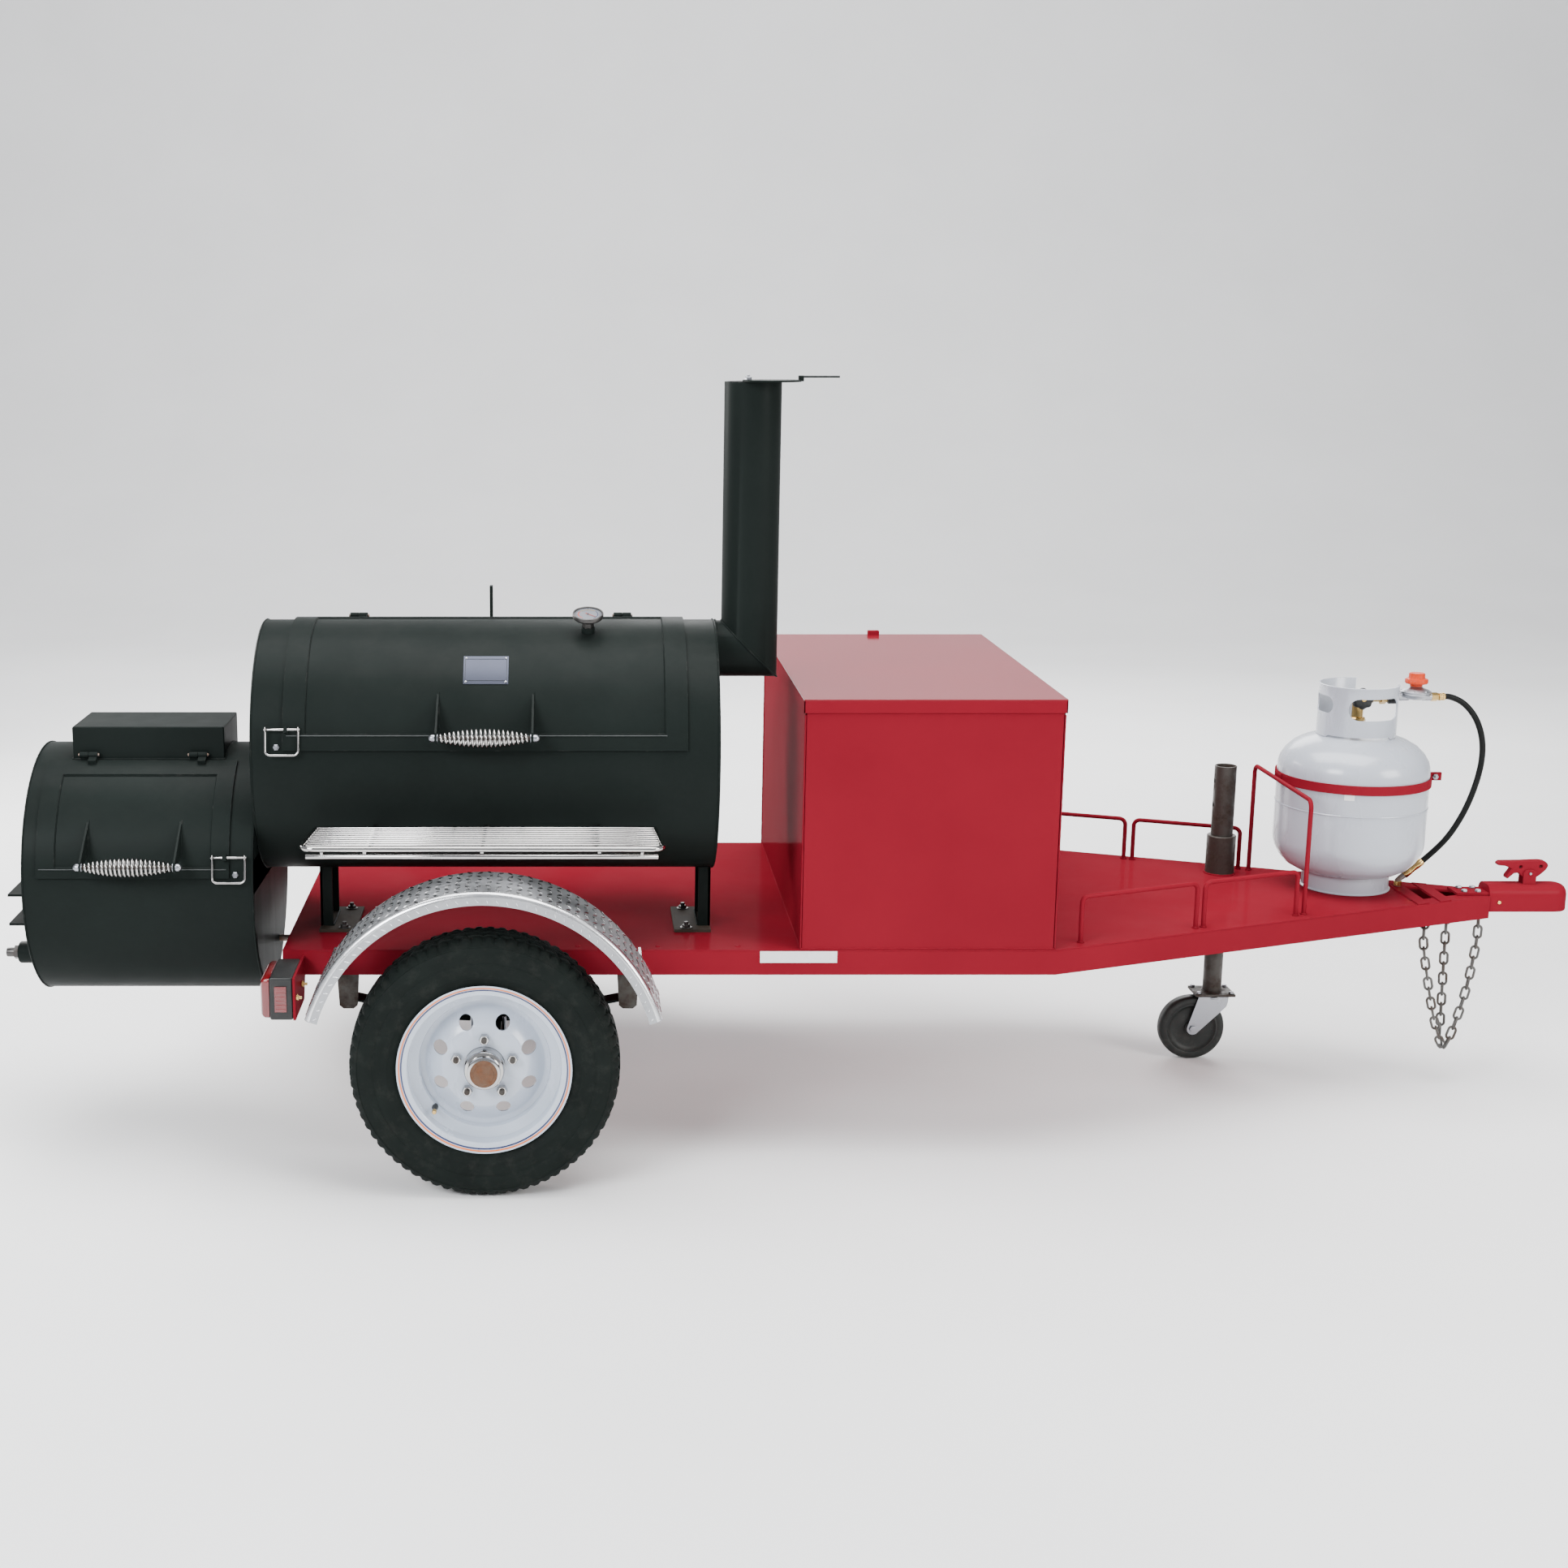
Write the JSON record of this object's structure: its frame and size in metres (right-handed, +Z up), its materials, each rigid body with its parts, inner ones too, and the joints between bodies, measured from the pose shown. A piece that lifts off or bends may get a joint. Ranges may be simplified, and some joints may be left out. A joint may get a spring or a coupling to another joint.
{
  "type": "trailer offset smoker",
  "caption": "Towable offset smoker: barrel cooking chamber with side firebox, chimney, storage box and gas cylinder on an axle trailer with a jack caster.",
  "frame": {"origin": "middle of the trailer's length and width, on the ground", "axes": "+X forward towards the ball coupler, -Y the near side with the smoker's doors, +Z up"},
  "size_m": [3.3276, 1.38, 1.564],
  "materials": {
    "satin_black": "satin",
    "gloss_red": "gloss",
    "white_enamel": "gloss",
    "tyre_rubber": "matte",
    "caster_rubber": "matte",
    "chrome": "polished",
    "polished_aluminium": "polished",
    "zinc_plate": "satin",
    "raw_steel": "rough",
    "tank_white": "gloss",
    "brass": "satin",
    "black_plastic": "matte",
    "red_lens": "gloss",
    "orange_plastic": "gloss",
    "hose_rubber": "matte",
    "cast_grey": "satin",
    "grate_iron": "matte"
  },
  "bodies": {
    "trailer": {"axle_beam": "satin_black", "chamber_shell": "satin_black", "cook_top": "satin_black", "cooking_grate": "grate_iron", "coupler": "gloss_red", "deck_plate": "gloss_red", "fender_far": "polished_aluminium", "fender_near": "polished_aluminium", "fire_grate": "grate_iron", "firebox_shell": "satin_black", "front_shelf": "chrome", "gas_hose": "hose_rubber", "gas_pipe": "raw_steel", "guard_far_front": "gloss_red", "guard_far_rear": "gloss_red", "guard_near_front": "gloss_red", "guard_near_rear": "gloss_red", "jack_sleeve": "raw_steel", "lamp_lens_far": "red_lens", "lamp_lens_near": "red_lens", "leaf_spring_far": "satin_black", "leaf_spring_near": "satin_black", "leg_front": "satin_black", "leg_rear": "satin_black", "regulator": "cast_grey", "safety_chain_hook": "zinc_plate", "safety_chain_loop": "zinc_plate", "stack_pipe": "satin_black", "storage_box": "gloss_red", "tail_lamp_far": "black_plastic", "tail_lamp_near": "black_plastic", "tank_collar": "tank_white", "tank_guard": "gloss_red", "tank_shell": "tank_white", "tank_strap": "gloss_red", "tank_valve": "brass", "trailer_frame": "gloss_red"},
    "chamber_lid": {"chamber_lid": "satin_black", "lid_handle": "chrome", "thermometer": "chrome", "name_plate": "polished_aluminium"},
    "lid_latch": {"lid_latch": "chrome"},
    "firebox_door": {"firebox_door": "satin_black", "door_handle": "chrome"},
    "door_latch": {"door_latch": "chrome"},
    "storage_lid": {"storage_lid": "gloss_red"},
    "stack_damper": {"stack_damper": "satin_black"},
    "air_shutter": {"air_shutter": "satin_black"},
    "wheel_near": {"tyre_near": "tyre_rubber", "rim_near": "white_enamel", "hub_near": "chrome"},
    "wheel_far": {"tyre_far": "tyre_rubber", "rim_far": "white_enamel", "hub_far": "chrome"},
    "jack_leg": {"jack_leg": "raw_steel"},
    "caster_fork": {"caster_fork": "zinc_plate"},
    "caster_wheel": {"caster_wheel": "caster_rubber"},
    "coupler_lever": {"coupler_lever": "gloss_red"},
    "tank_handwheel": {"tank_handwheel": "black_plastic"},
    "regulator_knob": {"regulator_knob": "orange_plastic"}
  },
  "joints": [
    {"name": "lid_hinge", "type": "hinge", "parent": "trailer", "child": "chamber_lid", "pos_m": [-0.6905, -0.16, 1.0727], "axis": [-1, 0, 0], "range_deg": [0, 105]},
    {"name": "lid_latch_swing", "type": "hinge", "parent": "chamber_lid", "child": "lid_latch", "pos_m": [-1.0835, -0.4944, 0.8943], "axis": [-1, 0, 0], "range_deg": [0, 120]},
    {"name": "firebox_door_hinge", "type": "hinge", "parent": "trailer", "child": "firebox_door", "pos_m": [-1.3843, -0.3371, 0.8138], "axis": [-1, 0, 0], "range_deg": [0, 110]},
    {"name": "door_latch_swing", "type": "hinge", "parent": "firebox_door", "child": "door_latch", "pos_m": [-1.1948, -0.4944, 0.6393], "axis": [-1, 0, 0], "range_deg": [0, 120]},
    {"name": "storage_lid_hinge", "type": "hinge", "parent": "trailer", "child": "storage_lid", "pos_m": [0.1865, 0.468, 0.92], "axis": [-1, 0, 0], "range_deg": [0, 100]},
    {"name": "damper_swing", "type": "hinge", "parent": "trailer", "child": "stack_damper", "pos_m": [-0.1762, -0.2849, 1.55], "axis": [0, 0, 1], "range_deg": [0, 73]},
    {"name": "shutter_slide", "type": "slide", "parent": "trailer", "child": "air_shutter", "axis": [0, -1, 0], "range_m": [0, 0.105]},
    {"name": "near_wheel_spin", "type": "hinge", "parent": "trailer", "child": "wheel_near", "pos_m": [-0.6905, -0.61, 0.262], "axis": [0, 1, 0], "continuous": true},
    {"name": "far_wheel_spin", "type": "hinge", "parent": "trailer", "child": "wheel_far", "pos_m": [-0.6905, 0.61, 0.262], "axis": [0, 1, 0], "continuous": true},
    {"name": "jack_slide", "type": "slide", "parent": "trailer", "child": "jack_leg", "axis": [0, 0, 1], "range_m": [0, 0.21]},
    {"name": "caster_swivel", "type": "hinge", "parent": "jack_leg", "child": "caster_fork", "pos_m": [0.9505, 0.165, 0.15], "axis": [0, 0, 1], "continuous": true},
    {"name": "caster_spin", "type": "hinge", "parent": "caster_fork", "child": "caster_wheel", "pos_m": [0.9065, 0.165, 0.075], "axis": [0, 1, 0], "continuous": true},
    {"name": "coupler_lever_pivot", "type": "hinge", "parent": "trailer", "child": "coupler_lever", "pos_m": [1.5778, 0, 0.484], "axis": [0, 1, 0], "range_deg": [0, 50]},
    {"name": "valve_turn", "type": "hinge", "parent": "trailer", "child": "tank_handwheel", "pos_m": [1.1945, 0.05, 0.8663], "axis": [0, 1, 0], "range_deg": [0, 450]},
    {"name": "regulator_turn", "type": "hinge", "parent": "trailer", "child": "regulator_knob", "pos_m": [1.3185, 0.05, 0.8753], "axis": [0, 0, 1], "range_deg": [0, 270]}
  ]
}
